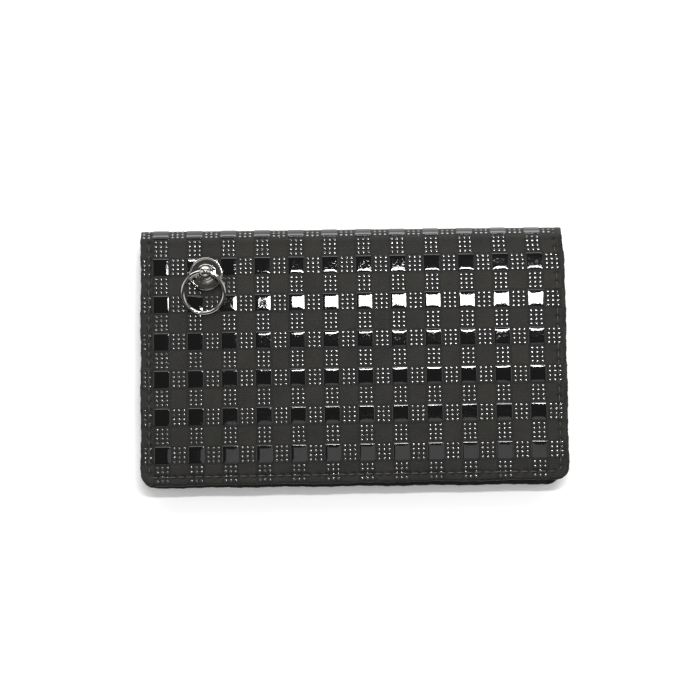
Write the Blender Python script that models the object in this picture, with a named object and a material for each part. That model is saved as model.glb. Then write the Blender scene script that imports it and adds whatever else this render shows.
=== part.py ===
"""Long chain wallet, closed and lying flat on its back cover.

Frame: metres, +Z up. X runs along the wallet, Y from the free edge of the flap (-Y) to the fold (+Y).
The origin is the middle of the footprint, at the height of the surface that the wallet lies on.

The wallet is a stack of thin sheets. The back half (bill slots and a zipped coin pocket) is fixed. A curved
spine turns on the back half, and the front half (cards, flap and ring stud) turns on the spine, so that half
the fold's arc unrolls at each of the two hinges.
"""

from math import asin, cos, pi, radians, sin

import bmesh
import bpy
from mathutils import Matrix, Vector

MM = 0.001

# ---- driving dimensions, millimetres ----
LENGTH = 171.0          # X
DEPTH = 105.0           # Y, free edge to the outside of the fold
THICK = 12.0            # Z, closed, without the stud
COVER = 1.1             # cover leather
SHEET = 0.3             # pockets, linings
GAP = 0.25              # clearance between neighbouring sheets
CORNER = 5.5            # radius of the covers' free corners
SEAM_INSET = 3.5        # stitch line to the cover's edge
THREAD = 0.4            # thread width and height
GROOVE = 1.0            # width of the groove that the thread lies in
GROOVE_DEPTH = 0.55
POCKET_INSET = 2.0      # pockets stop this much short of the cover's edge

HALF = LENGTH / 2
FREE = -DEPTH / 2                       # y of the free edge
FOLD_R = THICK / 2                      # outer radius of the fold
FOLD_Y = DEPTH / 2 - FOLD_R             # y where the fold's arc starts
PANEL_END = FOLD_Y - 0.4                # y where the flat sheets stop, clear of the turning spine
PIVOT_Y = FOLD_Y + FOLD_R * pi / 4      # turning a quarter arc about this line lays it flat
PIVOT_Z = FOLD_R * (1 - pi / 4)

# ---- ring stud on the flap ----
STUD = Vector((-58.9, 33.4))            # x, y of the stud's axis
STUD_LIFT = 0.3                         # base disc above the leather
BASE_R = 6.85
NECK_R = 1.9
KNOB_R = 2.65
KNOB_RISE = 5.9                         # knob's centre above the cover
EYE_R = 1.5                             # cross hole for the ring
EYE_TURN = radians(-6)                  # turn of the cross hole from the X direction, seen from above
RING_OUTER = 18.5                       # outer diameter
WIRE = 1.7                              # ring wire diameter
RING_REST = 0.6                         # ring's lower end above the leather
SCREW_R = 4.0

# ---- coin pocket zip ----
ZIP_Y = 33.0
ZIP_HALF = 68.0                         # half length of the rows of teeth
TOOTH_PITCH = 2.8
SLIDER_X = 62.0                         # slider's middle when the zip is shut
TAB_LENGTH = 16.0


def material(name, colour, roughness, metallic=0.0):
    """Principled material."""
    made = bpy.data.materials.new(name)
    made.use_nodes = True
    shader = made.node_tree.nodes["Principled BSDF"]
    shader.inputs["Base Color"].default_value = (*colour, 1.0)
    shader.inputs["Roughness"].default_value = roughness
    shader.inputs["Metallic"].default_value = metallic
    return made


def add_object(name, bm, finish, smooth=None):
    """Turns a bmesh in millimetres into a named object in metres. Edges up to the angle smooth are soft."""
    bmesh.ops.recalc_face_normals(bm, faces=bm.faces)
    bmesh.ops.scale(bm, vec=(MM, MM, MM), verts=bm.verts)
    mesh = bpy.data.meshes.new(name)
    bm.to_mesh(mesh)
    bm.free()
    if smooth:
        mesh.shade_smooth()
        mesh.set_sharp_from_angle(angle=radians(smooth))
    mesh.materials.append(finish)
    obj = bpy.data.objects.new(name, mesh)
    bpy.context.scene.collection.objects.link(obj)
    return obj


def rounded_outline(x0, x1, y0, y1, free_radius, steps=6):
    """Rectangle with its two corners at y0 rounded, anticlockwise from the corner at (x1, y1)."""
    points = [(x1, y1), (x0, y1)]
    for centre_x, start in ((x0 + free_radius, pi), (x1 - free_radius, 1.5 * pi)):
        for step in range(steps + 1):
            angle = start + 0.5 * pi * step / steps
            points.append((centre_x + free_radius * cos(angle), y0 + free_radius + free_radius * sin(angle)))
    return points


def seam_outline(inset, width):
    """A strip of the given width that runs down one side, along the free edge and up the other side."""
    reach = FOLD_Y + 2.0 if width > THREAD else PANEL_END - 0.6
    outer = rounded_outline(-HALF + inset - width / 2, HALF - inset + width / 2,
                            FREE + inset - width / 2, reach, CORNER - inset + width / 2)
    inner = rounded_outline(-HALF + inset + width / 2, HALF - inset - width / 2,
                            FREE + inset + width / 2, reach, CORNER - inset - width / 2)
    return outer[1:] + [outer[0], inner[0]] + inner[:1:-1] + [inner[1]]


def extruded(outline, z0, z1):
    """Closed prism over an outline."""
    bm = bmesh.new()
    face = bm.faces.new([bm.verts.new((x, y, z0)) for x, y in outline])
    walls = bmesh.ops.extrude_face_region(bm, geom=[face])
    moved = [item for item in walls["geom"] if isinstance(item, bmesh.types.BMVert)]
    bmesh.ops.translate(bm, vec=(0, 0, z1 - z0), verts=moved)
    bm.faces.ensure_lookup_table()
    return bm


def sheet(name, x0, x1, y0, y1, z0, z1, finish, free_radius=0.8):
    """Flat sheet with small rounded corners at its free edge."""
    return add_object(name, extruded(rounded_outline(x0, x1, y0, y1, free_radius), z0, z1), finish)


def turned(name, profile, centre, finish, segments=32, smooth=35):
    """Revolves (radius, z) points about the vertical line through centre. The profile starts and ends on the
    axis, or is a closed loop clear of it."""
    bm = bmesh.new()
    verts = [bm.verts.new((radius, 0, z)) for radius, z in profile]
    edges = [bm.edges.new(pair) for pair in zip(verts, verts[1:])]
    if profile[0][0] > 0:
        edges.append(bm.edges.new((verts[-1], verts[0])))
    bmesh.ops.spin(bm, geom=verts + edges, cent=(0, 0, 0), axis=(0, 0, 1), angle=2 * pi, steps=segments)
    bmesh.ops.remove_doubles(bm, verts=bm.verts, dist=1e-4)
    bmesh.ops.translate(bm, vec=(centre.x, centre.y, 0), verts=bm.verts)
    return add_object(name, bm, finish, smooth)


def block(bm, low, high):
    """Adds a box between two corners."""
    made = bmesh.ops.create_cube(bm, size=1.0)["verts"]
    middle = (Vector(low) + Vector(high)) / 2
    bmesh.ops.scale(bm, vec=Vector(high) - Vector(low), verts=made)
    bmesh.ops.translate(bm, vec=middle, verts=made)


def box_object(name, low, high, finish):
    """Box between two corners as an object."""
    bm = bmesh.new()
    block(bm, low, high)
    return add_object(name, bm, finish)


def helper(obj):
    """Marks a cutter or a piece to be joined: it takes no part in the finished model."""
    obj.hide_render = True
    obj.display_type = "WIRE"
    return obj


def boolean(obj, other, operation="DIFFERENCE"):
    """Cuts other out of obj, or joins it on."""
    modifier = obj.modifiers.new(other.name, "BOOLEAN")
    modifier.operation = operation
    modifier.solver = "EXACT"
    modifier.object = helper(other)


def cylinder(name, radius, start, end, finish, segments=24):
    """Cylinder between two points."""
    start, end = Vector(start), Vector(end)
    bm = bmesh.new()
    bmesh.ops.create_cone(bm, cap_ends=True, segments=segments, radius1=radius, radius2=radius,
                          depth=(end - start).length)
    turn = Vector((0, 0, 1)).rotation_difference(end - start).to_matrix().to_4x4()
    bmesh.ops.transform(bm, matrix=Matrix.Translation((start + end) / 2) @ turn, verts=bm.verts)
    return add_object(name, bm, finish, smooth=35)


def half_tube(name, outer, inner, finish, steps=12):
    """Half of a tube round the fold's axis, open towards the pockets."""
    turns = [pi * step / steps for step in range(steps + 1)]
    outer_arc, inner_arc = ([(FOLD_Y + radius * sin(a), FOLD_R - radius * cos(a)) for a in turns]
                            for radius in (outer, inner))
    bm = bmesh.new()
    loop = outer_arc + inner_arc[::-1]
    end_a = [bm.verts.new((-HALF, y, z)) for y, z in loop]
    end_b = [bm.verts.new((HALF, y, z)) for y, z in loop]
    count = len(loop)
    for index in range(count):
        after = (index + 1) % count
        bm.faces.new((end_a[index], end_a[after], end_b[after], end_b[index]))
    for ring in (end_a, end_b):
        for step in range(steps):
            bm.faces.new((ring[step], ring[step + 1], ring[count - 2 - step], ring[count - 1 - step]))
    return add_object(name, bm, finish, smooth=40)


def pocket(name, y_top, z0, finish, y_low=FREE + POCKET_INSET, corner=4.0):
    """Pocket sheet between the side edges, one sheet thick, from y_low to y_top."""
    return sheet(name, -HALF + POCKET_INSET, HALF - POCKET_INSET, y_low, y_top, z0, z0 + SHEET, finish, corner)


def seamed_cover(name, z0, z1, groove_z0, groove_z1, finish):
    """Cover leather with the groove for its stitches cut in its outer face."""
    cover = sheet(name, -HALF, HALF, FREE, PANEL_END, z0, z1, finish, CORNER)
    cut = add_object(name + "_groove", extruded(seam_outline(SEAM_INSET, GROOVE), groove_z0, groove_z1), finish)
    boolean(cover, cut)
    return cover


def pivot(name, location, parent=None):
    """Empty on a joint's axis."""
    empty = bpy.data.objects.new(name, None)
    empty.empty_display_size = 0.01
    empty.location = Vector(location) * MM
    bpy.context.scene.collection.objects.link(empty)
    if parent:
        hang([empty], parent)
    return empty


def hang(objects, parent):
    """Parents objects to an empty and keeps them where they are."""
    bpy.context.view_layer.update()
    for obj in objects:
        obj.parent = parent
        obj.matrix_parent_inverse = parent.matrix_world.inverted()


for old in list(bpy.data.objects):
    bpy.data.objects.remove(old, do_unlink=True)

# ---- materials ----
LEATHER = material("cover_leather", (0.042, 0.040, 0.036), 0.55)
LINING = material("lining", (0.020, 0.020, 0.021), 0.75)
POCKET = material("pocket_leather", (0.030, 0.029, 0.028), 0.60)
BOARD = material("stiffener_board", (0.22, 0.17, 0.12), 0.90)
THREAD_MAT = material("thread", (0.015, 0.015, 0.015), 0.50)
NICKEL = material("dark_nickel", (0.36, 0.35, 0.34), 0.15, 1.0)
TAPE = material("zip_tape", (0.018, 0.018, 0.018), 0.85)
TEETH = material("zip_metal", (0.42, 0.41, 0.40), 0.28, 1.0)

# ---- back half: outer to inner, each sheet one gap above the last ----
BOARD_INSET = 6.5                       # boards stay inside the stitch line
LINING_INSET = 0.8                      # linings stop this much short of the cover's edge
back_cover = seamed_cover("back_cover", 0, COVER, -1, GROOVE_DEPTH + 0.2, LEATHER)
level = COVER + GAP
back_board = sheet("back_stiffener", -HALF + BOARD_INSET, HALF - BOARD_INSET, FREE + BOARD_INSET, PANEL_END - 2,
                   level, level + SHEET, BOARD)
level += SHEET + GAP
back_lining = sheet("back_lining", -HALF + LINING_INSET, HALF - LINING_INSET, FREE + LINING_INSET, PANEL_END,
                    level, level + SHEET, LINING, CORNER - LINING_INSET)
LINING_LOW = level
level += SHEET + GAP
bill_divider = pocket("bill_divider", PANEL_END - 4, level, LINING)
level += SHEET + GAP
coin_back = pocket("coin_pocket_back", PANEL_END - 2, level, POCKET)
COIN_BACK_TOP = level + SHEET

# Zip: two tapes, a row of teeth on each, stops at both ends. The rows leave a slot for the slider's web.
PLATE_LOW = COIN_BACK_TOP + 0.3         # slider's lower plate
PLATE = 0.4
ROW_LOW = PLATE_LOW + PLATE + 0.3
ROW_HIGH = ROW_LOW + 0.8
TAPE_LOW = (ROW_LOW + ROW_HIGH) / 2 - 0.1
TAPE_HIGH = TAPE_LOW + 0.2
SLOT = 0.6                              # half width of the slot between the rows
ROW_EDGE = 1.7                          # outer edge of a row, from the zip's middle
WINDOW = 4.0                            # half width of the opening in the pocket's face
coin_front = pocket("coin_pocket_front", ZIP_Y - WINDOW, TAPE_HIGH + GAP, POCKET)
coin_top = pocket("coin_pocket_top_strip", PANEL_END - 2, TAPE_HIGH + GAP, POCKET, ZIP_Y + WINDOW, 0.8)


def toothed_row(name, side):
    """Row of teeth along one tape: a bar with a tooth every pitch, pointing to the zip's middle."""
    bar, tip = ZIP_Y + side * ROW_EDGE, ZIP_Y + side * SLOT
    root = ZIP_Y + side * (SLOT + 0.6)
    outline = [(ZIP_HALF, bar), (-ZIP_HALF, bar)]
    x = -ZIP_HALF + (TOOTH_PITCH / 2 if side > 0 else 0)
    while x + TOOTH_PITCH <= ZIP_HALF:
        outline += [(x, root), (x, tip), (x + TOOTH_PITCH / 2, tip), (x + TOOTH_PITCH / 2, root)]
        x += TOOTH_PITCH
    outline.append((ZIP_HALF, root))
    return add_object(name, extruded(outline, ROW_LOW, ROW_HIGH), TEETH)


zip_parts = []
for side, word in ((-1, "lower"), (1, "upper")):
    zip_parts.append(toothed_row("zip_teeth_" + word, side))
    near, far = ZIP_Y + side * (ROW_EDGE + 0.3), ZIP_Y + side * 9
    zip_parts.append(sheet("zip_tape_" + word, -ZIP_HALF - 6, ZIP_HALF + 6, min(near, far), max(near, far),
                           TAPE_LOW, TAPE_HIGH, TAPE, 0.5))
STOP = 1.8                              # width of an end stop
for x, word in ((-ZIP_HALF - 0.4 - STOP, "start"), (ZIP_HALF + 0.4, "end")):
    zip_parts.append(box_object("zip_stop_" + word, (x, ZIP_Y - ROW_EDGE, ROW_LOW),
                                (x + STOP, ZIP_Y + ROW_EDGE, ROW_HIGH), TEETH))

# Slider: two plates on a web that runs in the slot, and a bridge that holds the pull tab.
TOP_LOW = ROW_HIGH + 0.3
TOP_HIGH = TOP_LOW + PLATE
BRIDGE_HIGH = TOP_HIGH + 1.7
OVERLAP = 0.1                           # joined pieces sink this much into each other


def zip_box(name, half_x, half_y, z0, z1, x=0.0):
    """Box centred on the slider, or x to its side."""
    return box_object(name, (SLIDER_X + x - half_x, ZIP_Y - half_y, z0),
                      (SLIDER_X + x + half_x, ZIP_Y + half_y, z1), TEETH)


slider = zip_box("zip_slider", 4, 3.2, PLATE_LOW, PLATE_LOW + PLATE)
boolean(slider, zip_box("slider_web", 3.5, 0.3, PLATE_LOW + OVERLAP, TOP_HIGH - OVERLAP), "UNION")
boolean(slider, zip_box("slider_top", 4, 3.2, TOP_LOW, TOP_HIGH), "UNION")
boolean(slider, zip_box("slider_bridge", 2.8, 0.7, TOP_HIGH - OVERLAP, BRIDGE_HIGH), "UNION")
boolean(slider, zip_box("slider_eye", 2.1, 2, TOP_HIGH, BRIDGE_HIGH - 0.5))

# Pull tab: a flat plate with a window that goes round the bridge, its cross bar under the bridge.
TAB_Z = TOP_HIGH + 0.6
TAB = 0.5
TAB_END = 2.0                           # length of the tab's round end
round_end = [(TAB_END * sin(a), 2.2 * cos(a)) for a in (pi * step / 6 for step in range(7))]
tab_outline = [(1.0, -1.9), (1.0, 1.9)] + [(TAB_END - TAB_LENGTH - x, y) for x, y in round_end]
tab_points = [(SLIDER_X + x, ZIP_Y + y) for x, y in tab_outline]
pull_tab = add_object("zip_pull_tab", extruded(tab_points, TAB_Z - TAB / 2, TAB_Z + TAB / 2), TEETH)
boolean(pull_tab, zip_box("tab_window", 1.8, 1.1, TAB_Z - 1, TAB_Z + 1, -2.4))
boolean(pull_tab, zip_box("tab_hole", 0.8, 0.8, TAB_Z - 1, TAB_Z + 1, TAB_END - TAB_LENGTH))

# ---- front half, outer to inner ----
front_cover = seamed_cover("front_cover", THICK - COVER, THICK, THICK - GROOVE_DEPTH, THICK + 1, LEATHER)
level = THICK - COVER - GAP - SHEET
front_board = sheet("front_stiffener", -HALF + BOARD_INSET, HALF - BOARD_INSET, FREE + BOARD_INSET,
                    PANEL_END - 2, level, level + SHEET, BOARD)
level -= GAP + SHEET
front_lining = sheet("front_lining", -HALF + LINING_INSET, HALF - LINING_INSET, FREE + LINING_INSET, PANEL_END,
                     level, level + SHEET, LINING, CORNER - LINING_INSET)
LINING_BOTTOM = level
CARD_TOPS = (26.0, 15.0, 4.0, -7.0)     # upper edges of the stepped card pockets
card_pockets = []
for number, top in enumerate(CARD_TOPS, 1):
    level -= GAP + SHEET
    card_pockets.append(pocket(f"card_pocket_{number}", top, level, POCKET))

# ---- stitching ----
front_thread = add_object("front_stitching",
                          extruded(seam_outline(SEAM_INSET, THREAD), THICK - 0.25, THICK + 0.15), THREAD_MAT)
back_thread = add_object("back_stitching", extruded(seam_outline(SEAM_INSET, THREAD), 0.05, 0.05 + THREAD),
                         THREAD_MAT)

# ---- spine ----
cover_spine = half_tube("cover_spine", FOLD_R, FOLD_R - COVER, LEATHER)
spine_lining = half_tube("spine_lining", FOLD_R - LINING_LOW, FOLD_R - LINING_LOW - SHEET, LINING)

# ---- ring stud: stepped base, post with a round knob, ring through the knob, screw from inside ----
HOLE_R = NECK_R + 0.3
base_z = THICK + STUD_LIFT
base_profile = [(HOLE_R, 0), (BASE_R, 0), (BASE_R, 0.45), (BASE_R - 0.35, 0.85), (BASE_R - 0.8, 0.75),
                (BASE_R - 1.1, 1.35), (4.3, 1.75), (3.9, 2.35), (HOLE_R + 0.3, 2.6), (HOLE_R, 2.5)]
stud_base = turned("stud_base", [(radius, base_z + z) for radius, z in base_profile], STUD, NICKEL, 40)

knob_z = THICK + KNOB_RISE
SHANK_LOW = LINING_BOTTOM + 0.1
BORE_R = 1.25
BORE_TOP = THICK
meet = asin(NECK_R / KNOB_R)
knob = [(KNOB_R * sin(a), knob_z + KNOB_R * cos(a)) for a in [(pi - meet) * step / 9 for step in range(10)]]
post_profile = [(0, knob[0][1])] + knob[1:] + [(NECK_R, SHANK_LOW), (BORE_R, SHANK_LOW), (BORE_R, BORE_TOP),
                                              (0, BORE_TOP)]
ring_post = turned("ring_post", post_profile, STUD, NICKEL, 24)
knob_centre = Vector((STUD.x, STUD.y, knob_z))
eye_half = 2 * KNOB_R * Vector((cos(EYE_TURN), sin(EYE_TURN), 0))   # the cutter runs well out of the knob
boolean(ring_post, cylinder("ring_eye", EYE_R, knob_centre - eye_half, knob_centre + eye_half, NICKEL))

for leather in (front_cover, front_board, front_lining):
    boolean(leather, cylinder(leather.name + "_hole", HOLE_R, (STUD.x, STUD.y, LINING_BOTTOM - 1),
                              (STUD.x, STUD.y, THICK + 1), NICKEL))

STEM_R = BORE_R - 0.3
screw_top = LINING_BOTTOM - 0.3
screw_profile = [(0, BORE_TOP - 0.4), (STEM_R, BORE_TOP - 0.4), (STEM_R, screw_top), (SCREW_R - 0.2, screw_top),
                 (SCREW_R, screw_top - 0.25), (SCREW_R - 0.3, screw_top - 0.55), (0, screw_top - 0.55)]
post_screw = turned("post_screw", screw_profile, STUD, NICKEL, 28)
boolean(post_screw, box_object("screw_slot", (STUD.x - 5, STUD.y - 0.4, screw_top - 1),
                               (STUD.x + 5, STUD.y + 0.4, screw_top - 0.3), NICKEL))

# The ring hangs through the knob and leans on the leather: its tilt follows from the two heights.
ring_r = (RING_OUTER - WIRE) / 2
ring_tilt = asin((KNOB_RISE - WIRE / 2 - RING_REST) / (2 * ring_r))
bm = bmesh.new()
section = [bm.verts.new((0, ring_r + WIRE / 2 * cos(a), WIRE / 2 * sin(a)))
           for a in [2 * pi * step / 10 for step in range(10)]]
loop_edges = [bm.edges.new((section[i], section[(i + 1) % 10])) for i in range(10)]
bmesh.ops.spin(bm, geom=section + loop_edges, cent=(0, 0, 0), axis=(0, 0, 1), angle=2 * pi, steps=36)
bmesh.ops.remove_doubles(bm, verts=bm.verts, dist=1e-4)
bmesh.ops.translate(bm, vec=(0, -ring_r, 0), verts=bm.verts)
place = Matrix.Translation(knob_centre) @ Matrix.Rotation(EYE_TURN, 4, "Z") @ Matrix.Rotation(ring_tilt, 4, "X")
bmesh.ops.transform(bm, matrix=place, verts=bm.verts)
chain_ring = add_object("chain_ring", bm, NICKEL, smooth=60)

# ---- joints' axes, with what moves on each ----
spine_pivot = pivot("spine_hinge", (0, PIVOT_Y, PIVOT_Z))
flap_pivot = pivot("flap_hinge", (0, PIVOT_Y, THICK - PIVOT_Z), spine_pivot)
ring_pivot = pivot("ring_hinge", knob_centre, flap_pivot)
slider_pivot = pivot("zip_slide", (SLIDER_X, ZIP_Y, TOP_LOW))
tab_pivot = pivot("tab_hinge", (SLIDER_X + 0.2, ZIP_Y, TAB_Z), slider_pivot)
hang([cover_spine, spine_lining], spine_pivot)
hang([front_cover, front_board, front_lining, front_thread, stud_base, ring_post, post_screw] + card_pockets,
     flap_pivot)
hang([chain_ring], ring_pivot)
hang([slider], slider_pivot)
hang([pull_tab], tab_pivot)
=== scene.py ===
"""Looks of the long chain wallet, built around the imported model.

All shape maths is in millimetres and is turned into metres when a mesh is made. The cover is one leather sheet
that is worked out flat and then wrapped: front, fold, back. Raised tiles, dots, stitches, linings and pockets all
sit on the same wrap, at their own heights.
"""

from math import asin, cos, pi, radians, sin

import bmesh
import bpy
import numpy as np
from mathutils import Matrix, Vector


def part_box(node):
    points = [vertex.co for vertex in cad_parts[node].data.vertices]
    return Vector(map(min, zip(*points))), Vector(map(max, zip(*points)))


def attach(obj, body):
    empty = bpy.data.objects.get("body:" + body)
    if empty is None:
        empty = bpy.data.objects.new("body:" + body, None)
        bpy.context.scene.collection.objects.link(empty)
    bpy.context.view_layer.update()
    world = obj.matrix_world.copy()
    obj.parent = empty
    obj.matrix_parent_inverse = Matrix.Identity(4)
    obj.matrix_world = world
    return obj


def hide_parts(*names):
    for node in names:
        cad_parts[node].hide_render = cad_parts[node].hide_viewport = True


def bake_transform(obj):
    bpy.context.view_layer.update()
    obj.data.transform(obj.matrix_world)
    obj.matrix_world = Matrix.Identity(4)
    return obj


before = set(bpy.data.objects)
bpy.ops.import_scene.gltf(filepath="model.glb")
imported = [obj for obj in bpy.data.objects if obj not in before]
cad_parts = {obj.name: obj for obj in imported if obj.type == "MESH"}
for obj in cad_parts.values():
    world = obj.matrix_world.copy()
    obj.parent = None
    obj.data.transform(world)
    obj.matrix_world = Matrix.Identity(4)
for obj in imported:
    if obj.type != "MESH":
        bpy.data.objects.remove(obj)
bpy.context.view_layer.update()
MM = 0.001
rng = np.random.default_rng(7)


def node_box(node):
    """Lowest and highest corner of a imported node, in millimetres."""
    low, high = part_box(node)
    return np.array(low) / MM, np.array(high) / MM


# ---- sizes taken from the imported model, millimetres ----
flap_low, flap_high = node_box("front_cover")
spine_high = node_box("cover_spine")[1]
stud_low, stud_high = node_box("stud_base")
post_low, post_high = node_box("ring_post")
STUD = (stud_low + stud_high) / 2
HALF = flap_high[0]                     # half the wallet's length
TOP = flap_high[2]                      # height of the closed wallet's outer face
FOLD_R = TOP / 2                        # outer radius of the fold
FOLD_Y = spine_high[1] - FOLD_R         # where the fold starts
ARC = pi * FOLD_R                       # length of the fold's outer arc
APEX = ARC / 2                          # middle of that arc
FLAT = FOLD_Y - flap_low[1]             # flat length of each half
COVER = TOP - flap_low[2]               # thickness of the cover
CORNER = 5.5                            # radius of the free corners
SEAM_INSET = 3.5                        # from the edge to the stitches
STITCH = 3.6                            # stitch pitch

# ---- the embossed pattern ----
RELIEF = 0.26                           # tile tops above the leather
PERIOD_X, PERIOD_Y = 13.695, 15.34
TILE_X, TILE_Y = 3.36, 3.66             # half sizes of a tile
FIRST_X, FIRST_Y = -49.56, 36.80        # a tile in the row nearest the fold
DRIFT = radians(0.36)                   # the pattern runs this much off the fold's line
DOT_X, DOT_Y = 2.03, 1.81               # dot spacing inside a cell
DOT_R, DOT_H = 0.54, 0.075              # a dot's radius and height
DOT_COLUMNS, DOT_ROWS = (-1, 0, 1), (-1.5, -0.5, 0.5, 1.5)

# ---- how the closed wallet lies ----
CURVE = 0.0013                          # curvature of the flap across its depth, 1/mm
CREST_Y = -6.0                          # where the flap stands highest
SETTLE = 8.0                            # length over which the bulge runs out towards the fold
PRESS_R = 9.0                           # the ring stud presses the leather down this far round it
SIDE_DROP = 0.45                        # share of the bulge that is lost by the flap's two ends
SPREAD = 0.9                            # the flap has stretched this much longer towards its +X end
SPREAD_FROM, SPREAD_OVER = -5.0, 80.0   # where along x the stretch starts, and the length it grows over
SPREAD_FADE = 9.0                       # length beside the fold in which the stretch comes in
BACK_NARROW = 2.2                       # the back half is cut this much short at its +X free corner
EDGE_SHORT, EDGE_SLANT = 0.35, 0.006    # the flap's free edge is cut short in its middle, and more so towards +X

# ---- relief of the leather ----
WAVE = 0.03                             # soft waves between the tiles
CHANNEL, HOLE, PUCKER = 0.14, 0.5, 0.09 # depths of the sewn channel, of a stitch hole and of the dip round it
EDGE_FALL, EDGE_ROUND = 0.34, 0.7       # how far the cut edge is rounded down, and over what width


def bulge(x, y):
    """Rise of the flap over the flat: a parabola about CREST_Y that runs out smoothly before the fold, and is
    pressed back down to the flat round the ring stud."""
    def parabola(at):
        """Height of the bulge across the flap's depth, 0 where the fold starts."""
        return CURVE / 2 * ((FOLD_Y - CREST_Y) ** 2 - (at - CREST_Y) ** 2)
    start = FOLD_Y - SETTLE
    u = np.clip((y - start) / SETTLE, 0, 1)
    slope = -CURVE * (start - CREST_Y) * SETTLE
    settled = parabola(start) * (2 * u ** 3 - 3 * u ** 2 + 1) + slope * (u ** 3 - 2 * u ** 2 + u)
    pressed = np.exp(-(((x - STUD[0]) ** 2 + (y - STUD[1]) ** 2) / PRESS_R ** 2) ** 2)
    sides = 1 - SIDE_DROP * (x / HALF) ** 6
    return np.where(y < start, parabola(y), settled) * (1 - pressed) * sides


def wrap(x, s, h):
    """Places points of the sheet. x runs along the wallet. s is measured on the outer face from where the fold
    starts on the front, over the fold and down the back: straight, round a half circle, straight. h is the height
    over the tile tops, outwards. The front is lifted by the bulge and stretched a little towards +X."""
    x, s, h = np.broadcast_arrays(np.asarray(x, float), s, h)
    turn = np.clip(s, 0, ARC) / FOLD_R
    front, back = np.minimum(s, 0), np.maximum(s - ARC, 0)
    x = x + SPREAD * np.clip((x - SPREAD_FROM) / SPREAD_OVER, 0, 1.1) ** 2 * np.clip(-front / SPREAD_FADE, 0, 1)
    y = FOLD_Y + front - back + (FOLD_R + h) * np.sin(turn)
    z = FOLD_R + (FOLD_R + h) * np.cos(turn) + np.where(s < 0, bulge(x, FOLD_Y + front), 0)
    return np.stack([x, y, z], axis=-1)


def shares(s):
    """How far a point is down the front and down the back, 0 at the fold to 1 at the free edge."""
    return np.clip(-s / FLAT, 0, 1), np.clip((s - ARC) / FLAT, 0, 1)


def fray(v):
    """Small unevenness of a hand-cut edge: four sine waves of falling length."""
    return 0.13 * np.sin(v * 0.21 + 2) + 0.09 * np.sin(v * 0.83 + 1) + 0.06 * np.sin(v * 1.9) + 0.07 * np.sin(v * 4.3)


def cut(x, s):
    """From the true outline to the one that was cut: the flap's free edge runs up towards +X, the back half is
    narrower there, and all edges are a little uneven."""
    front, back = shares(s)
    edge_x = np.clip((np.abs(x) - HALF + 2) / 2, 0, 1) ** 2
    edge_s = np.clip((down(s) - FLAT + 2) / 2, 0, 1) ** 2
    new_x = x - BACK_NARROW * back * np.clip(x / HALF, 0, 1) + np.sign(x) * (fray(s) - 0.12) * edge_x
    shorter = (EDGE_SHORT + EDGE_SLANT * x) * front ** 2
    return new_x, s + shorter - np.where(s < APEX, -1, 1) * (0.25 - fray(x + 40)) * edge_s


def uncut(x, s):
    """The reverse of cut, near enough."""
    front, back = shares(s)
    wider = np.where(x > 0, 1 / (1 - BACK_NARROW * back / HALF), 1)
    return x * wider, s - (EDGE_SHORT + EDGE_SLANT * x) * front ** 2


def down(s):
    """Distance down either half from its end of the fold; negative on the fold."""
    return np.where(s < APEX, -s, s - ARC)


def half_width(t, inset):
    """Half width of an outline that is inset from the cover's, narrowing round its free corners."""
    radius = max(CORNER - inset, 0.8)
    into = np.clip(t - (FLAT - inset - radius), 0, radius)
    return HALF - inset - radius + np.sqrt(radius ** 2 - into ** 2)


def edge_distance(x, t):
    """Distance in from the edge of a half cover."""
    across, along = np.abs(x) - (HALF - CORNER), t - (FLAT - CORNER)
    outside = np.hypot(np.maximum(across, 0), np.maximum(along, 0))
    return CORNER - outside - np.minimum(np.maximum(across, along), 0)


def hole_share(x, t):
    """1 abreast of a stitch hole and 0 half a stitch away: a raised cosine along the nearest edge."""
    along = np.where(HALF - np.abs(x) < FLAT - t, t, x)
    return 0.5 + 0.5 * np.cos(2 * pi * along / STITCH)


def leather_height(x, s):
    """Height of the leather between the tiles: soft waves, a rounded edge, and a sewn channel that is drawn in
    at every stitch hole. x and s are on the true outline."""
    t = down(s)
    d = edge_distance(x, t)
    waves = WAVE * (np.sin(x / 17 + 1) * np.sin(s / 11 + 2) + 0.6 * np.sin(x / 7.3 + s / 9.1) - 1.6)
    pull = hole_share(x, t) ** 3
    off = (d - SEAM_INSET) ** 2
    channel = CHANNEL * np.exp(-off / 0.5) + HOLE * pull * np.exp(-off / 0.35) + PUCKER * pull * np.exp(-off / 3.0)
    rim = EDGE_FALL * (1 - np.clip(d / EDGE_ROUND, 0, 1)) ** 2
    return -RELIEF + waves * np.clip(d / 8, 0, 1) - channel - rim


# ---- meshes ----
def net(rows, cols, first=0):
    """Quads of a grid of points stored row by row."""
    index = np.arange(rows * cols).reshape(rows, cols) + first
    return np.stack([index[:-1, :-1], index[:-1, 1:], index[1:, 1:], index[1:, :-1]], axis=-1).reshape(-1, 4)


def tube_net(rows, cols):
    """Quads of a tube: a grid whose columns close on themselves."""
    index = np.arange(rows * cols).reshape(rows, cols)
    after = np.roll(index, -1, axis=1)
    return np.stack([index[:-1], after[:-1], after[1:], index[1:]], axis=-1).reshape(-1, 4)


def add_piece(name, points, faces, finish, sharp=None):
    """Makes a smooth object from points in millimetres, every closed shell's faces turned outwards."""
    mesh = bpy.data.meshes.new(name)
    mesh.from_pydata((np.asarray(points).reshape(-1, 3) * MM).tolist(), [], [list(face) for face in faces])
    bm = bmesh.new()
    bm.from_mesh(mesh)
    bmesh.ops.recalc_face_normals(bm, faces=bm.faces)
    bm.to_mesh(mesh)
    bm.free()
    mesh.shade_smooth()
    if sharp:
        mesh.set_sharp_from_angle(angle=radians(sharp))
    mesh.materials.append(finish)
    obj = bpy.data.objects.new(name, mesh)
    bpy.context.scene.collection.objects.link(obj)
    return obj


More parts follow.
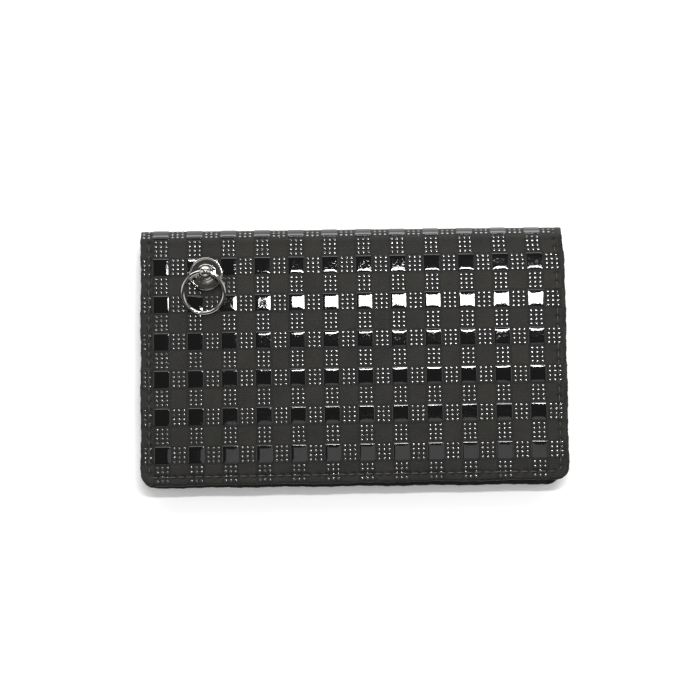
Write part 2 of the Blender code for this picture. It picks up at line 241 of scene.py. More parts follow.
def slab(top, bottom):
    """Closed sheet between two grids of points of one size: both grids, and a wall round their border."""
    rows, cols = top.shape[:2]
    size = rows * cols
    index = np.arange(size).reshape(rows, cols)
    rim = np.concatenate([index[0], index[1:, -1], index[-1, -2::-1], index[-2:0:-1, 0]])
    after = np.roll(rim, -1)
    walls = np.stack([rim, after, after + size, rim + size], axis=-1)
    return (np.concatenate([top.reshape(-1, 3), bottom.reshape(-1, 3)]),
            np.concatenate([net(rows, cols), net(rows, cols, size), walls]))


def copies(shape_faces, points_each, count):
    """Faces of many copies of one shape whose points are stored copy after copy."""
    return [[corner + n * points_each for corner in face] for n in range(count) for face in shape_faces]


def spaced(low, high, step, near):
    """Grid values from low to high, step apart, with closer ones by both ends, at the distances in near."""
    inner = np.linspace(low + near[-1], high - near[-1], max(int((high - low) / step), 2) + 1)
    return np.concatenate([low + near[:-1], inner, (high - near[:-1])[::-1]])


# ---- shader maths ----
class Value:
    """A socket of a node tree. Arithmetic on it makes maths nodes, and make() adds any other node."""

    def __init__(self, tree, socket):
        self.tree, self.socket = tree, socket

    def make(self, kind, settings, inputs, out=0):
        """Adds a node: first its settings, then its inputs, and gives back one of its outputs."""
        node = self.tree.nodes.new(kind)
        for key, value in settings.items():
            setattr(node, key, value)
        for key, value in inputs.items():
            if isinstance(value, Value):
                self.tree.links.new(value.socket, node.inputs[key])
            else:
                node.inputs[key].default_value = value
        return Value(self.tree, node.outputs[out])

    def maths(self, operation, first, second=0.0):
        """The result of one maths operation."""
        return self.make("ShaderNodeMath", {"operation": operation}, {0: first, 1: second})

    def __add__(self, other):
        return self.maths("ADD", self, other)

    def __sub__(self, other):
        return self.maths("SUBTRACT", self, other)

    def __rsub__(self, other):
        return self.maths("SUBTRACT", other, self)

    def __mul__(self, other):
        return self.maths("MULTIPLY", self, other)

    __radd__ = __add__
    __rmul__ = __mul__

    def noise(self, scale, detail=3.0, rough=0.5):
        """Cloudy noise at this place, scale to the millimetre."""
        return self.make("ShaderNodeTexNoise", {}, {"Vector": self, "Scale": scale, "Detail": detail,
                                                    "Roughness": rough})

    def cells(self, scale):
        """Distance to the nearest of many scattered points, scale of them to the millimetre."""
        return self.make("ShaderNodeTexVoronoi", {"feature": "F1"}, {"Vector": self, "Scale": scale})

    def ramp(self, low, high, to_low=0.0, to_high=1.0):
        """Straight ramp of this value between two levels, held at its ends."""
        return self.make("ShaderNodeMapRange", {}, {0: self, 1: low, 2: high, 3: to_low, 4: to_high})

    def tint(self, dark, light):
        """Colour between two, mixed by this value."""
        return self.make("ShaderNodeMix", {"data_type": "RGBA"}, {0: self, 6: (*dark, 1), 7: (*light, 1)}, 2)

    def bumped(self, distance, strength=1.0):
        """Normal of a surface with this value as its height. distance is in millimetres."""
        return self.make("ShaderNodeBump", {}, {"Height": self, "Distance": distance * MM, "Strength": strength})


def finish(name, build, **settings):
    """Material with constant settings, and build(place) giving the varying inputs from the object's own
    coordinates, in millimetres."""
    made = bpy.data.materials.new(name)
    made.use_nodes = True
    tree = made.node_tree
    shader = tree.nodes["Principled BSDF"]
    for key, value in settings.items():
        shader.inputs[key.replace("_", " ")].default_value = value
    place = Value(tree, tree.nodes.new("ShaderNodeTexCoord").outputs["Object"])
    place = place.make("ShaderNodeVectorMath", {"operation": "SCALE"}, {0: place, "Scale": 1 / MM})
    for key, value in build(place).items():
        tree.links.new(value.socket, shader.inputs[key])
    return made


def leather_look(dark, light, grain, depth, print_and_shade=False):
    """Grained leather: rounded pebbles with fine pores, a little uneven in colour, and, when asked, darker by a point
    attribute that holds dark printing and painted shade at the stitch holes.
    """
    def build(place):
        pebbles = place.cells(grain)
        fine = place.noise(grain * 3.5, 2.0)
        height = pebbles * 0.7 + fine * 0.6
        patch = place.noise(0.12, 4.0) * 0.5 + fine * 0.5
        if print_and_shade:
            # Darker by the point attribute: dark printing in the dotted cells, and painted shade at the stitch holes.
            patch = patch - place.make("ShaderNodeAttribute", {"attribute_name": "print_and_hole_shade"}, {}, 2) * 0.22
        return {"Base Color": patch.ramp(0.3, 0.7).tint(dark, light), "Normal": height.bumped(depth),
                "Roughness": patch.ramp(0.3, 0.7, 0.56, 0.68)}
    return build


def enamel_look(place):
    """Poured gloss on embossed leather: nearly flat, with shallow wrinkles and a faint orange peel."""
    wander = place.noise(0.35, 2.0)
    offset = place.noise(0.42, 3.0, 0.6) - 0.5
    creases = 1 - offset.maths("ABSOLUTE", offset).ramp(0.0, 0.05)
    height = creases * wander * 0.6 + place.noise(0.8, 2.0) * 0.9 + place.noise(1.9, 2.0) * 0.12
    return {"Normal": height.bumped(0.0070), "Roughness": place.noise(1.2).ramp(0.3, 0.8, 0.02, 0.06)}


def weave_look(dark, light, pitch, depth):
    """Plain weave: two crossing sets of threads that take turns on top, as the product of two sine waves."""
    def build(place):
        split = place.make("ShaderNodeSeparateXYZ", {}, {0: place})
        y = Value(split.tree, split.socket.node.outputs[1])
        across = (split * (pi / pitch)).maths("SINE", split * (pi / pitch))
        along = y.maths("SINE", y * (pi / pitch))
        height = across * along + place.noise(6.0) * 0.5
        return {"Base Color": height.ramp(-0.6, 1.2).tint(dark, light), "Normal": height.bumped(depth)}
    return build


def metal_look(low, high, wear):
    """Plated metal with faint handling marks."""
    def build(place):
        smudge = place.noise(0.5, 4.0)
        return {"Roughness": smudge.ramp(0.35, 0.75, low, high), "Normal": place.noise(3.0, 3.0).bumped(wear)}
    return build


LEATHER = finish("cover leather", leather_look((0.0075, 0.0072, 0.0060), (0.0232, 0.0222, 0.0186), 1.9, 0.15, True),
                 Specular_IOR_Level=0.2)
ENAMEL = finish("tile enamel", enamel_look, Base_Color=(0.004, 0.004, 0.004, 1), IOR=1.5)
DOT_GLOSS = finish("dot enamel", lambda place: {"Roughness": place.noise(1.2).ramp(0.3, 0.8, 0.05, 0.07)},
                   Base_Color=(0.002, 0.002, 0.002, 1), IOR=2.1)
POCKET = finish("pocket leather", leather_look((0.018, 0.0175, 0.017), (0.036, 0.035, 0.034), 2.6, 0.15),
                Specular_IOR_Level=0.35)
LINING = finish("woven lining", weave_look((0.010, 0.010, 0.011), (0.030, 0.030, 0.032), 0.45, 0.04), Roughness=0.8)
TAPE = finish("woven tape", weave_look((0.008, 0.008, 0.008), (0.026, 0.026, 0.026), 0.7, 0.06), Roughness=0.85)
BOARD = finish("bonded board", leather_look((0.16, 0.12, 0.08), (0.27, 0.21, 0.15), 1.2, 0.05))
THREAD = finish("waxed thread", lambda place: {"Normal": place.noise(5.0).bumped(0.05)},
                Base_Color=(0.03, 0.03, 0.029, 1), Roughness=0.4)
NICKEL = finish("dark nickel", metal_look(0.02, 0.045, 0.0001), Base_Color=(0.34, 0.33, 0.315, 1), Metallic=1.0)
ZIP_METAL = finish("zip nickel", metal_look(0.2, 0.35, 0.003), Base_Color=(0.40, 0.39, 0.38, 1), Metallic=1.0)


# ---- cover ----
FLAP_BEND = dict(a="spine", b="flap", start=(0, (FOLD_Y + FOLD_R) * MM, FOLD_R * MM), end=(0, FOLD_Y * MM, TOP * MM))
BACK_BEND = dict(a="back", b="spine", start=(0, FOLD_Y * MM, 0), end=(0, (FOLD_Y + FOLD_R) * MM, FOLD_R * MM))
SIDES = {"front": (-FLAT, APEX, FLAP_BEND), "back": (APEX, ARC + FLAT, BACK_BEND)}
COVER_NODES = {"front": ("front_cover", "cover_spine"), "back": ("back_cover",)}
COVER_STEP = 0.635                      # grid step of the two covers
EDGE_ROWS = np.array((0.0, 0.15, 0.4, 0.7))


def join_body(obj, bend, slot, *nodes):
    """Hangs a piece from the empty of the body that bend names, or bakes its placement when bend is not a name, and
    hides the imported nodes it stands for. slot is not used.
    """
    if isinstance(bend, str):
        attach(obj, bend)
    else:
        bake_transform(obj)
    if nodes:
        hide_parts(*nodes)


def leaf(name, s_from, s_to, inset, outer, inner, finish, step, print_and_shade=None):
    """A sheet of the wrap between two heights, from s_from to s_to, its sides inset from the cover's. Its grid runs
    along s and across the width, which narrows round the corners. outer and inner give the heights from x, s and the
    distance in from the cover's edge. The last argument, if given, says how much darker the outer face is: dark
    printing, and painted shade at the stitch holes."""
    s_rows = spaced(s_from, s_to, step, EDGE_ROWS)
    across = spaced(-1.0, 1.0, step / HALF, EDGE_ROWS / HALF)
    s, u = np.meshgrid(s_rows, across, indexing="ij")
    x = u * half_width(down(s), inset)
    d = edge_distance(x, down(s))
    cut_x, cut_s = cut(x, s)
    faces = slab(wrap(cut_x, cut_s, outer(x, s, d)), wrap(cut_x, cut_s, inner(x, s, d)))
    piece = add_piece(name, *faces, finish, 50)
    # The outer face's points carry how much darker they are: dark printing, and painted shade at the stitch holes.
    if print_and_shade:
        dark = np.concatenate([print_and_shade(cut_x, cut_s).ravel(), np.zeros(s.size)]).astype(np.float32)
        piece.data.attributes.new("print_and_hole_shade", "FLOAT", "POINT").data.foreach_set("value", dark)
    return piece


def darkened(x, s):
    """How dark the leather is coloured: 1 in the cells that hold dots, beside and between the tiles, where it has dark
    printing, and more at the holes of the seam, where this is painted shade."""
    y = s + FOLD_Y
    u = (x * cos(DRIFT) + y * sin(DRIFT) - FIRST_X) / PERIOD_X
    v = (y * cos(DRIFT) - x * sin(DRIFT) - FIRST_Y) / PERIOD_Y
    dotted = (np.abs(u - np.round(u)) < 0.25) != (np.abs(v - np.round(v)) < 0.25)
    t = down(s)
    # The second term is painted shade in the stitch holes, on top of the real hole depth in leather_height.
    return 1.3 * dotted + 2.0 * hole_share(x, t) ** 2 * np.exp(-(edge_distance(x, t) - SEAM_INSET) ** 2 / 0.5)


def level_at(h):
    """The same height all over a sheet."""
    return lambda x, s, d: np.full_like(x, h)


for word, (s_from, s_to, bend) in SIDES.items():
    cover = leaf(word + "_cover_leather", s_from, s_to, 0.0, lambda x, s, d: leather_height(x, s), level_at(-COVER),
                 LEATHER, COVER_STEP, darkened)
    join_body(cover, bend, "cover_leather", *COVER_NODES[word])


def lattice(i, j, x, y):
    """Point of the pattern: cell i, j moved by x, y, on the developed sheet."""
    flat_x, flat_y = FIRST_X + PERIOD_X * i + x, FIRST_Y - PERIOD_Y * j + y
    return flat_x * cos(DRIFT) - flat_y * sin(DRIFT), flat_y * cos(DRIFT) + flat_x * sin(DRIFT) - FOLD_Y


# ---- raised tiles ----
WALL, SHELF = 0.32, 1.7                 # widths of a tile's steep rim and of the soft shelf inside it
SHELF_RISE = 0.075                      # height of that shelf
TILE_ROUND = 0.75                       # radius of a tile's corners
TILE_SUNK = 0.25                        # how far its underside goes into the leather
MARGIN = 0.25                           # leather left between a cut tile and the cut edge
SLIVER = 2.0                            # a tile cut down to less than this is left out
TILE_NEAR = np.array((0.0, 0.07, 0.15, 0.24, 0.34, 0.5, 0.7, 0.95, 1.25, 1.6, 2.0))
TILE_FULL = 3.6                         # narrower tiles than this have their grid drawn closer


def tile_rise(x, y, lean_x, lean_y):
    """Height of a tile over the leather at x, y from its middle: a steep rounded rim, a shelf that turns softly
    into the top, and a top that leans a little and sags or swells."""
    across, along = np.abs(x) - (TILE_X - TILE_ROUND), np.abs(y) - (TILE_Y - TILE_ROUND)
    d = TILE_ROUND - np.hypot(np.maximum(across, 0), np.maximum(along, 0)) - np.minimum(np.maximum(across, along), 0)
    rim = (RELIEF - 0.06) * (1 - (1 - np.clip(d / WALL, 0, 1)) ** 2)
    shelf = SHELF_RISE * (1 - (1 - np.clip((d - WALL * 0.5) / SHELF, 0, 1)) ** 2.4)
    return np.where(d < 0, -0.08, rim + shelf + (lean_x * x + lean_y * y) * np.clip(d, 0, 1))


def tiles(word, s_from, s_to, bend):
    """All tiles whose middles lie between s_from and s_to, cut off where the cover ends."""
    points, faces, count = [], [], 0
    for j in range(-8, 7):
        for i in range(-3, 11):
            middle_x, middle_s = lattice(i, j, 0, 0)
            lean_x, lean_y, swell = rng.normal(0, 0.0035, 3)
            over_front_edge = word == "front" and abs(middle_s - s_from) < TILE_Y
            over_back_edge = word == "back" and abs(middle_s - s_to) < TILE_Y
            if not (s_from <= middle_s < s_to or over_front_edge or over_back_edge):
                continue
            right_end = cut(HALF, middle_s)[0] - MARGIN
            low_end, high_end = cut(middle_x, -FLAT)[1] + MARGIN, ARC + FLAT - MARGIN
            low_x, high_x = max(middle_x - TILE_X, -HALF + MARGIN), min(middle_x + TILE_X, right_end)
            low_s, high_s = max(middle_s - TILE_Y, low_end), min(middle_s + TILE_Y, high_end)
            if high_x - low_x < SLIVER or high_s - low_s < SLIVER:
                continue
            near_x = TILE_NEAR * min(1, (high_x - low_x) / TILE_FULL)
            near_s = TILE_NEAR * min(1, (high_s - low_s) / TILE_FULL)
            rows = np.concatenate([low_s + near_s, (high_s - near_s)[::-1]])
            cols = np.concatenate([low_x + near_x, (high_x - near_x)[::-1]])
            s, x = np.meshgrid(rows, cols, indexing="ij")
            rise = tile_rise(x - middle_x, s - middle_s, lean_x, lean_y) \
                + swell * (1 - ((x - middle_x) / TILE_X) ** 2) * 3
            ground = leather_height(*uncut(x, s))
            top, bottom = wrap(x, s, ground + rise), wrap(x, s, np.minimum(ground, -RELIEF) - TILE_SUNK)
            piece_points, piece_faces = slab(top, bottom)
            points.append(piece_points)
            faces.append(piece_faces + count)
            count += len(piece_points)
    obj = add_piece(word + "_raised_tiles", np.concatenate(points), np.concatenate(faces), ENAMEL, 40)
    join_body(obj, bend, "cover_leather")


# ---- dots ----
DOT_SIDES = 8
DOT_RINGS = ((0.32, 0.95), (0.65, 0.76), (0.93, 0.34), (1.0, -0.6))   # shares of its radius and height
HEM_IN = 0.95                           # from the back half's free edge to the first row of dots on its hem


def dot_shape():
    """Dome in units of its radius and height: apex, three rings on the dome, one sunk ring, closed below."""
    angles = 2 * pi * np.arange(DOT_SIDES) / DOT_SIDES
    points = [np.array([[0.0, 0.0, 1.0]])]
    points += [np.stack([r * np.cos(angles), r * np.sin(angles), np.full(DOT_SIDES, h)], axis=1) for r, h in DOT_RINGS]
    faces = [[0, 1 + k, 1 + (k + 1) % DOT_SIDES] for k in range(DOT_SIDES)]
    faces += (tube_net(len(DOT_RINGS), DOT_SIDES) + 1).tolist()
    last = 1 + (len(DOT_RINGS) - 1) * DOT_SIDES
    faces.append(list(range(last, last + DOT_SIDES))[::-1])
    return np.concatenate(points), faces


def add_dots(name, x, s, ground, up, bend):
    """Dots at the given places. up is 1 on the outer face and -1 on the inner."""
    shape, faces = dot_shape()
    size = rng.normal(1.0, 0.025, (len(x), 1))
    points = wrap(x[:, None] + shape[:, 0] * DOT_R * size, s[:, None] + shape[:, 1] * DOT_R * size,
                  ground[:, None] + up * shape[:, 2] * DOT_H)
    join_body(add_piece(name, points, copies(faces, len(shape), len(x)), DOT_GLOSS), bend, "cover_leather")


def dots(word, s_from, s_to, bend):
    """Cells of three by four dots beside the tiles, and above and below them. The back half also has two
    rows of dots on the leather that is turned in along its free edge."""
    centres = []
    for j in range(-8, 7):
        for i in range(-4, 11):
            for cell_x, cell_y in ((PERIOD_X / 2, 0.0), (0.0, -PERIOD_Y / 2)):
                for a in DOT_COLUMNS:
                    for b in DOT_ROWS:
                        centres.append(lattice(i, j, cell_x + a * DOT_X, cell_y + b * DOT_Y))
    centres = np.array(centres) + rng.normal(0, 0.02, (len(centres), 2))
    outline_x, outline_s = uncut(centres[:, 0], centres[:, 1])
    inside = (edge_distance(outline_x, down(outline_s)) > 0.9) & (centres[:, 1] >= s_from) & (centres[:, 1] < s_to)
    add_dots(word + "_dots", *centres[inside].T, leather_height(outline_x, outline_s)[inside], 1, bend)
    if word == "back":
        hem = [(x + k * DOT_X, ARC + FLAT - HEM_IN - row * DOT_Y * 0.8) for x in np.arange(-78.0, 76.0, PERIOD_X)
               for k in DOT_COLUMNS for row in (0, 1)]
        hem_x, hem_s = cut(*np.array(hem).T)
        add_dots("hem_dots", hem_x, hem_s, np.full(len(hem), -COVER), -1, "back")


# ---- stitches ----
THREAD_R = 0.24


def capsule(length, radius, sides=8, rings=7):
    """Sausage along x with round ends, as a grid of rings closed by end faces."""
    turns = np.linspace(-pi / 2, pi / 2, rings)
    along = np.sin(turns) * radius * 1.2 + np.sign(turns) * (length / 2 - radius * 1.2)
    size = np.maximum(np.cos(turns), 0.15) * radius
    angles = 2 * pi * np.arange(sides) / sides
    grid = np.stack(np.broadcast_arrays(along[:, None], size[:, None] * np.cos(angles),
                                        size[:, None] * np.sin(angles)), axis=-1)
    last = (rings - 1) * sides
    faces = tube_net(rings, sides).tolist() + [list(range(sides)), list(range(last, last + sides))[::-1]]
    return grid.reshape(-1, 3), faces


def seam_path(inset, first_t, pitch):
    """Points a pitch apart down one side, round the corner, along the free edge and up the other side, with the
    direction of the path at each."""
    radius = CORNER - inset
    side = HALF - inset
    turn = np.linspace(0, pi / 2, 12)
    corner_t = FLAT - inset - radius
    left = [(-side, first_t)] + [(-side + radius - radius * cos(a), corner_t + radius * sin(a)) for a in turn]
    line = np.array(left + [(-x, t) for x, t in left[::-1]])
    length = np.concatenate([[0], np.cumsum(np.hypot(*np.diff(line, axis=0).T))])
    marks = np.arange(pitch / 2, length[-1], pitch)
    x, t = (np.interp(marks, length, line[:, k]) for k in (0, 1))
    ahead = [np.interp(marks + 0.5, length, line[:, k]) - np.interp(marks - 0.5, length, line[:, k]) for k in (0, 1)]
    return x, t, np.arctan2(ahead[1], ahead[0])


def stitches(word, bend, node):
    """Separate stitches that rise out of one hole and dive into the next: capsules bent down by a parabola."""
    shape, faces = capsule(STITCH * 0.80, THREAD_R)
    x, t, angle = seam_path(SEAM_INSET, 1.2, STITCH)
    angle = (angle + rng.normal(0, 0.04, len(angle)))[:, None]
    along, side, up = shape.T
    step_x, step_t = (along * np.cos(angle) - side * np.sin(angle)), (along * np.sin(angle) + side * np.cos(angle))
    grid_t = t[:, None] + step_t
    s = -grid_t if word == "front" else ARC + grid_t
    arch = 0.16 * (along / (STITCH * 0.4)) ** 2
    cut_x, cut_s = cut(x[:, None] + step_x, s)
    points = wrap(cut_x, cut_s, -RELIEF - THREAD_R / 2 + up - arch)
    obj = add_piece(word + "_stitches", points, copies(faces, len(shape), len(x)), THREAD)
    join_body(obj, bend, "thread", node)


for word, (s_from, s_to, bend) in SIDES.items():
    tiles(word, s_from, s_to, bend)
    dots(word, s_from, s_to, bend)
    stitches(word, "flap" if word == "front" else "back", word + "_stitching")


# ---- ring stud ----
EYE_TURN = radians(-6)                  # the knob's hole is turned this much off the wallet's length
KNOB_R, NECK_R, EYE_R, WIRE, RING_R = 2.65, 1.9, 1.5, 0.85, 8.4
KNOB = np.array([STUD[0], STUD[1], post_high[2] - KNOB_R])


def rounded(profile, radius=0.12, steps=4):
    """Profile with its inner corners replaced by small curves, each a parabola between two points beside the
    corner."""
    profile = np.asarray(profile, float)
    made = [profile[0]]
    for before, corner, after in zip(profile, profile[1:], profile[2:]):
        into, out = before - corner, after - corner
        reach = min(radius, np.hypot(*into) / 2.2, np.hypot(*out) / 2.2)
        start, end = corner + into / np.hypot(*into) * reach, corner + out / np.hypot(*out) * reach
        for k in np.linspace(0, 1, steps):
            made.append((1 - k) ** 2 * start + 2 * k * (1 - k) * corner + k ** 2 * end)
    return np.array(made + [profile[-1]])


def turned(name, profile, finish, centre=STUD, sides=96, sharp=40):
    """Turns a profile of radii and heights, axis to axis, about the vertical line through centre."""
    profile = np.asarray(profile, float)
    angles = 2 * pi * np.arange(sides) / sides
    body = profile[1:-1]
    points = np.stack(np.broadcast_arrays(centre[0] + body[:, :1] * np.cos(angles),
                                          centre[1] + body[:, :1] * np.sin(angles), body[:, 1:]), axis=-1)
    last = len(body) * sides
    faces = tube_net(len(body), sides).tolist()
    faces += [[last, (k + 1) % sides, k] for k in range(sides)]
    faces += [[last + 1, last - sides + k, last - sides + (k + 1) % sides] for k in range(sides)]
    ends = [[centre[0], centre[1], profile[k][1]] for k in (0, -1)]
    return add_piece(name, np.concatenate([points.reshape(-1, 3), ends]), faces, finish, sharp)


def carve(obj, cutter):
    """Cuts cutter out of obj for good and removes the cutter."""
    modifier = obj.modifiers.new("cut", "BOOLEAN")
    modifier.operation, modifier.solver, modifier.object = "DIFFERENCE", "EXACT", cutter
    bpy.context.view_layer.update()
    made = bpy.data.meshes.new_from_object(obj.evaluated_get(bpy.context.evaluated_depsgraph_get()))
    obj.modifiers.clear()
    made.name = obj.data.name
    obj.data = made
    bpy.data.objects.remove(cutter, do_unlink=True)


def tube(name, path, radius, finish, sides=24, closed=False):
    """Round tube: a circle carried along a path of points, square to it. radius may vary along it."""
    path = np.asarray(path, float)
    ahead = np.roll(path, -1, 0) - np.roll(path, 1, 0) if closed else np.gradient(path, axis=0)
    ahead /= np.linalg.norm(ahead, axis=1)[:, None]
    spare = np.array([0.13, 0.31, 0.94]) if abs(ahead[:, 2]).max() < 0.9 else np.array([0.9, 0.1, 0.2])
    side = np.cross(ahead, spare)
    side /= np.linalg.norm(side, axis=1)[:, None]
    up = np.cross(side, ahead)
    angles = 2 * pi * np.arange(sides) / sides
    size = np.broadcast_to(radius, len(path))[:, None, None]
    points = path[:, None] + size * (np.cos(angles)[:, None] * side[:, None] + np.sin(angles)[:, None] * up[:, None])
    if closed:
        return add_piece(name, points, tube_net(len(path) + 1, sides) % (len(path) * sides), finish)
    last = (len(path) - 1) * sides
    faces = tube_net(len(path), sides).tolist() + [list(range(sides)), list(range(last, last + sides))]
    return add_piece(name, points, faces, finish, 50)


# Radii and heights from the stud's foot: a thin raised rim, a flat dish, then two steps up to the post.
BASE_PROFILE = [(0, 0), (6.7, 0), (6.85, 0.25), (6.85, 0.62), (6.6, 0.92), (6.3, 0.86), (6.05, 0.58), (5.7, 0.575),
                (4.35, 0.565), (4.0, 0.56), (3.9, 1.3), (3.05, 1.32), (2.95, 2.1), (2.1, 2.12), (2.1, 2.6), (0, 2.6)]
base = turned("stud_dish", [(r, stud_low[2] + z) for r, z in rounded(BASE_PROFILE, 0.22)], NICKEL)
join_body(base, "flap", "dark_nickel", "stud_base")

meet = asin(NECK_R / KNOB_R)
knob = [(KNOB_R * sin(a), KNOB[2] + KNOB_R * cos(a)) for a in np.linspace(0, pi - meet, 40)]
post = turned("ring_post_turned", knob + [(NECK_R * 0.97, knob[-1][1] - 0.3), (NECK_R, TOP), (NECK_R, post_low[2]),
                                          (0, post_low[2])], NICKEL)
eye_half = np.array([cos(EYE_TURN), sin(EYE_TURN), 0]) * 2 * KNOB_R
eye = tube("eye_cutter", [KNOB - eye_half, KNOB, KNOB + eye_half], EYE_R, NICKEL, 40)
carve(post, eye)
post.data.set_sharp_from_angle(angle=radians(30))
join_body(post, "flap", "dark_nickel", "ring_post")

screw_top, screw_end = post_low[2] - 0.4, node_box("post_screw")[0][2]
screw = turned("slotted_screw", rounded([(0, screw_top), (3.8, screw_top), (4.0, screw_top - 0.25),
                                         (3.7, screw_end + 0.05), (2.4, screw_end), (0, screw_end)], 0.1), NICKEL)
slot_y, slot_x = np.meshgrid(STUD[1] + np.array((-0.4, 0.4)), STUD[0] + np.array((-5.0, 5.0)), indexing="ij")
slot = [np.stack([slot_x, slot_y, np.full((2, 2), z)], axis=-1) for z in (screw_end + 0.25, screw_end - 1)]
carve(screw, add_piece("slot_cutter", *slab(*slot), NICKEL))
join_body(screw, "flap", "dark_nickel", "post_screw")

# The ring leans on the leather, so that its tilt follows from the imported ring's box.
RING_TILT = asin((KNOB[2] - WIRE - node_box("chain_ring")[0][2]) / (2 * RING_R))
turn = np.linspace(0, 2 * pi, 160, endpoint=False)
ring_points = np.stack([RING_R * np.sin(turn), RING_R * np.cos(turn) - RING_R, np.zeros_like(turn)], axis=1)
lean = np.array(Matrix.Rotation(EYE_TURN, 3, "Z") @ Matrix.Rotation(RING_TILT, 3, "X"))
JOINT_AT, JOINT_WIDE = radians(215), radians(1.6)      # where the ring's two ends meet, and how wide the groove is
pinch = np.exp(-((turn - JOINT_AT) / JOINT_WIDE) ** 2)
ring = tube("split_ring", KNOB + ring_points @ lean.T, WIRE * (1 - 0.10 * pinch), NICKEL, 32, closed=True)
join_body(ring, "ring", "dark_nickel", "chain_ring")


# ---- linings, boards and pockets ----
def rim_rise(low, high, reach=5.0):
    """Height that goes from low, inside, to high along the sheet's edge, smoothly over reach."""
    def height(x, s, d):
        share = np.clip(d / reach, 0, 1)
        return high + (low - high) * share ** 2 * (3 - 2 * share)
    return height


LINING_OUT, LINING_IN = -1.9, -2.2      # heights of the lining's two faces
LINING_NODES = {"front": ("front_lining", "spine_lining"), "back": ("back_lining",)}
LINING_INSET = {"front": 0.05, "back": 2.6}     # the back half has patterned leather turned in round its edge
for word, (s_from, s_to, bend) in SIDES.items():
    lining = leaf(word + "_lining_cloth", s_from, s_to, LINING_INSET[word], rim_rise(LINING_OUT, -COVER - 0.02),
                  level_at(LINING_IN), LINING, 1.6)
    join_body(lining, bend, "lining", *LINING_NODES[word])

BOARD_TOP, BOARD_INSET = FOLD_Y - 44.1, 6.5
for word, body, ends in (("front", "flap", (BOARD_INSET - FLAT, -BOARD_TOP)),
                         ("back", "back", (ARC + BOARD_TOP, ARC + FLAT - BOARD_INSET))):
    board = leaf(word + "_board", *ends, BOARD_INSET, level_at(-1.35), level_at(-1.65), BOARD, 4.0)
    join_body(board, body, "stiffener_board", word + "_stiffener")


def pocket_faces(outer, inner, top_t, fold_over):
    """Heights of a pocket sheet: fuller along its sewn sides, with a folded and creased upper edge."""
    def outside(x, s, d):
        return outer + 0.20 * (1 - np.clip((d - 2.0) / 3.0, 0, 1))

    def inside(x, s, d):
        from_top = down(s) - top_t
        fold = fold_over * np.clip((2.3 - from_top) / 0.5, 0, 1)
        crease = 0.05 * np.exp(-((from_top - 3.2) / 0.25) ** 2)
        return inner - fold + crease
    return outside, inside


POCKET_INSET, SHEET = 2.0, 0.3          # from the cover's edge to a pocket's, and a pocket sheet's thickness
ZIP_LEVEL = -5.05                       # outer face of the coin pocket's front
# Node, body, height of the outer face, and distance of the upper edge from the fold.
CARD_POCKETS = [("card_pocket_%d" % (n + 1), "flap", -2.45 - 0.55 * n, FOLD_Y - y)
                for n, y in enumerate((26, 15, 4, -7))]
BACK_POCKETS = [("bill_divider", "back", -2.45, FOLD_Y - 42.1), ("coin_pocket_back", "back", -3.0, FOLD_Y - 44.1),
                ("coin_pocket_front", "back", ZIP_LEVEL, FOLD_Y - 29.0)]
POCKET_REACH = FLAT - POCKET_INSET
for node, body, outer, top_t in CARD_POCKETS + BACK_POCKETS:
    outside, inside = pocket_faces(outer, outer - SHEET, top_t, 0.10 if body == "flap" else 0.04)
    ends = (-POCKET_REACH, -top_t) if body == "flap" else (ARC + top_t, ARC + POCKET_REACH)
    cloth = node == "bill_divider"
    piece = leaf(node + "_sheet", *ends, POCKET_INSET, outside, inside, LINING if cloth else POCKET, 1.3)
    join_body(piece, body, "lining" if cloth else "pocket_leather", node)
outside, inside = pocket_faces(ZIP_LEVEL, ZIP_LEVEL - SHEET, -1.0, 0.10)
strip = leaf("coin_pocket_strip", ARC + 2.4, ARC + 9.5, POCKET_INSET, outside, inside, POCKET, 1.0)
join_body(strip, "back", "pocket_leather", "coin_pocket_top_strip")


# ---- inner seams: the middle of the card pockets, and both sides of the zip's window ----
FINE_PITCH = 2.8
STITCH_SINK = 0.02                      # the thread's middle lies this far inwards of the sheet's inner face


def line_of_stitches(name, body, x, s, h, angle):
    """Stitches at the given places of the wrap, facing inwards: capsules bent by a parabola."""
    shape, faces = capsule(2.0, 0.16, 6, 5)
    along, side, up = shape.T
    x, s, h = (np.asarray(v, float)[:, None] for v in (x, s, h))
    arch = 0.12 * along ** 2
    turned_x, turned_s = along * cos(angle) - side * sin(angle), along * sin(angle) + side * cos(angle)
    points = wrap(x + turned_x, s + turned_s, h - up + arch)
    join_body(add_piece(name, points, copies(faces, len(shape), x.size), THREAD), body, "thread")


# Each card pocket is sewn from just under its upper edge to just above the next one's.
tops = [top_t for *_, top_t in CARD_POCKETS]
ends = [top_t - 0.5 for top_t in tops[1:]] + [FLAT - 4]
runs = [np.arange(top_t + 1.6, end_t, FINE_PITCH) for top_t, end_t in zip(tops, ends)]
card_s = -np.concatenate(runs)
card_h = np.concatenate([np.full(len(run), pocket[2] - SHEET - STITCH_SINK) for run, pocket in zip(runs, CARD_POCKETS)])
line_of_stitches("card_middle_stitches", "flap", np.zeros(len(card_s)), card_s, card_h, pi / 2)
window_x = np.arange(-76.0, 77.0, FINE_PITCH)
for word, y in (("lower", 27.6), ("upper", 38.4)):
    line_of_stitches("zip_stitches_" + word, "back", window_x, np.full(len(window_x), ARC + FOLD_Y - y),
                     np.full(len(window_x), ZIP_LEVEL - SHEET - STITCH_SINK), 0.0)

# The zip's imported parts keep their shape.
for part in ("tape_lower", "tape_upper", "teeth_lower", "teeth_upper", "stop_start", "stop_end", "slider", "pull_tab"):
    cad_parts["zip_" + part].data.materials[0] = TAPE if part.startswith("tape") else ZIP_METAL

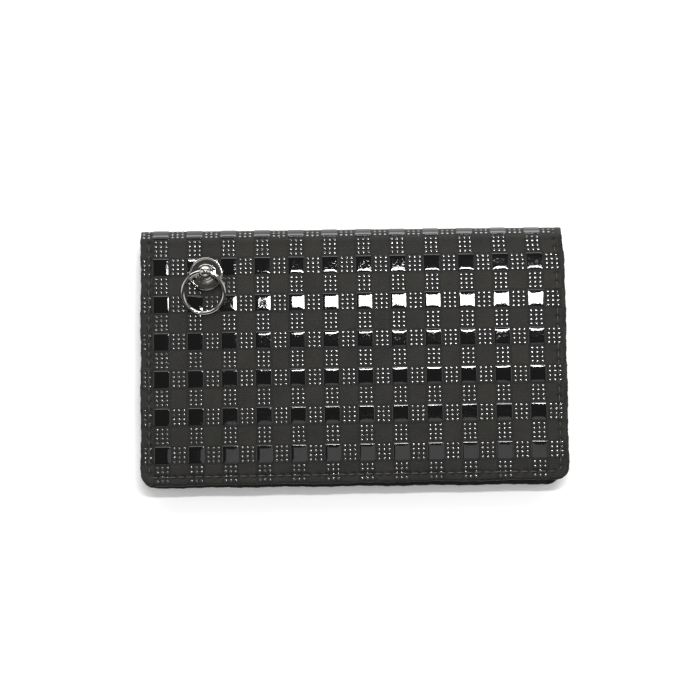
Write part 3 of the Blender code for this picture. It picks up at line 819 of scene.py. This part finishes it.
# ---- stage: pale floor, lights and camera ----
FLOOR = bpy.data.materials.new("pale floor")
FLOOR.use_nodes = True
for key, value in {"Base Color": (0.95, 0.95, 0.95, 1), "Roughness": 0.9, "Specular IOR Level": 0.1,
                   "Emission Color": (1, 1, 1, 1), "Emission Strength": 0.1}.items():
    FLOOR.node_tree.nodes["Principled BSDF"].inputs[key].default_value = value
FLOOR_HALF, FLOOR_Z = 2.5, -0.0002      # metres
floor_mesh = bpy.data.meshes.new("floor")
floor_mesh.from_pydata([(x * FLOOR_HALF, y * FLOOR_HALF, FLOOR_Z) for x, y in ((-1, -1), (1, -1), (1, 1), (-1, 1))],
                       [], [(0, 1, 2, 3)])
floor_mesh.materials.append(FLOOR)
floor = bpy.data.objects.new("floor", floor_mesh)
bpy.context.scene.collection.objects.link(floor)


def lamp(name, place, size, power, aim=(0, 0, 0)):
    """Rectangular lamp, metres and watts, facing aim."""
    light = bpy.data.lights.new(name, "AREA")
    light.shape, light.size, light.size_y, light.energy = "RECTANGLE", size[0], size[1], power
    obj = bpy.data.objects.new(name, light)
    obj.location = place
    obj.rotation_euler = (Vector(aim) - Vector(place)).to_track_quat("-Z", "Y").to_euler()
    bpy.context.scene.collection.objects.link(obj)
    return obj


def radiant(size, radiance):
    """Power of a lamp of that size that looks as bright as radiance."""
    return size[0] * size[1] * pi * radiance


# The strip and the panel are what the tiles mirror; the back wall is what the fold mirrors.
STRIP = (0.575, 0.076)
lamp("strip", (0.22, 0.406, 1.6), STRIP, radiant(STRIP, 100.0), (0.22, 0.406, 0.0))
PANEL = (0.64, 0.50)
lamp("panel", (0.19, -0.19, 1.6), PANEL, radiant(PANEL, 1.2), (0.19, -0.19, 0.0))
WALL_LAMP = (3.0, 0.8)
lamp("back wall", (0.0, 1.6, 0.45), WALL_LAMP, radiant(WALL_LAMP, 6.5))
lamp("back softbox", (0.0, 1.1, 1.1), (1.6, 0.6), 6.0)
lamp("left softbox", (-1.3, 0.1, 0.8), (0.8, 1.4), 6.0)
lamp("right softbox", (1.3, 0.1, 0.8), (0.8, 1.4), 6.5)
lamp("front softbox", (0.0, -1.4, 0.6), (1.6, 0.7), 6.0)

world = bpy.data.worlds.new("studio")
bpy.context.scene.world = world
world.use_nodes = True
world.node_tree.nodes["Background"].inputs["Color"].default_value = (1, 1, 1, 1)
world.node_tree.nodes["Background"].inputs["Strength"].default_value = 0.12

# The camera looks down at aim from DISTANCE metres, tilted from the vertical and rolled a little.
TILT, ROLL, DISTANCE = radians(8.4), radians(0.65), 1.1765
aim = np.array([-0.92, 1.77, 12.0]) * MM
level_right, level_up = np.array([1.0, 0, 0]), np.array([0, cos(TILT), sin(TILT)])
right = level_right * cos(ROLL) - level_up * sin(ROLL)
up = level_right * sin(ROLL) + level_up * cos(ROLL)
back = np.array([0, -sin(TILT), cos(TILT)])
camera_data = bpy.data.cameras.new("camera")
camera_data.lens, camera_data.sensor_width = 150, 36
camera = bpy.data.objects.new("camera", camera_data)
axes = np.column_stack([right, up, back, aim + back * DISTANCE])
camera.matrix_world = Matrix(axes.tolist() + [[0, 0, 0, 1]])
bpy.context.scene.collection.objects.link(camera)
bpy.context.scene.camera = camera
bpy.context.scene.view_settings.view_transform = "Standard"
